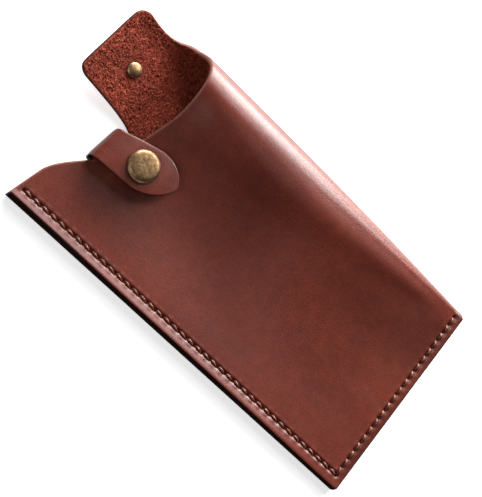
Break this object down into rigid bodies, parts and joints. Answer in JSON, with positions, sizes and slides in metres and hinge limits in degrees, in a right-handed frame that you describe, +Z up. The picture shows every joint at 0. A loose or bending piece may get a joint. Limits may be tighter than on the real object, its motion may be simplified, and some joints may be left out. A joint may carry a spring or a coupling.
{
  "type": "soft pouch glasses case",
  "caption": "Flat folded leather pouch for glasses, sewn along one side and the bottom, with an end flap and a snap strap over its open mouth.",
  "frame": {"origin": "centre of the object's box, at the height of the surface it lies on", "axes": "+X across the pouch from the sewn side to the fold, +Y along it towards the mouth, +Z up, out of the front panel"},
  "size_m": [0.0888, 0.1796, 0.021],
  "materials": {
    "leather_grain": "smooth, waxed, dark reddish brown grain side with black painted edges",
    "leather_flesh": "rough fibrous flesh side, orange brown",
    "antique_brass": "antiqued brass with a dark patina, worn bright at the rims",
    "spring_steel": "bright spring wire",
    "waxed_thread": "thick waxed sewing thread, reddish brown"
  },
  "bodies": {
    "pouch": {"pouch_body": "leather_grain", "strap_root": "leather_grain", "front_stud": "antique_brass", "front_stud_post": "antique_brass", "needle_thread": "waxed_thread", "bobbin_thread": "waxed_thread"},
    "strap": {"closing_strap": "leather_grain", "snap_cap": "antique_brass", "snap_socket": "antique_brass", "socket_spring": "spring_steel"},
    "flap": {"mouth_flap": "leather_flesh", "flap_stud": "antique_brass", "flap_stud_post": "antique_brass"}
  },
  "joints": [
    {"name": "strap_bend", "type": "hinge", "parent": "pouch", "child": "strap", "pos_m": [-0.0071, 0.06696, 0.0054], "axis": [-1, 0, 0], "range_deg": [0, 150]},
    {"name": "flap_bend", "type": "hinge", "parent": "pouch", "child": "flap", "pos_m": [0.0214, 0.06666, 0.00473], "axis": [1, 0, 0], "range_deg": [0, 116]}
  ]
}
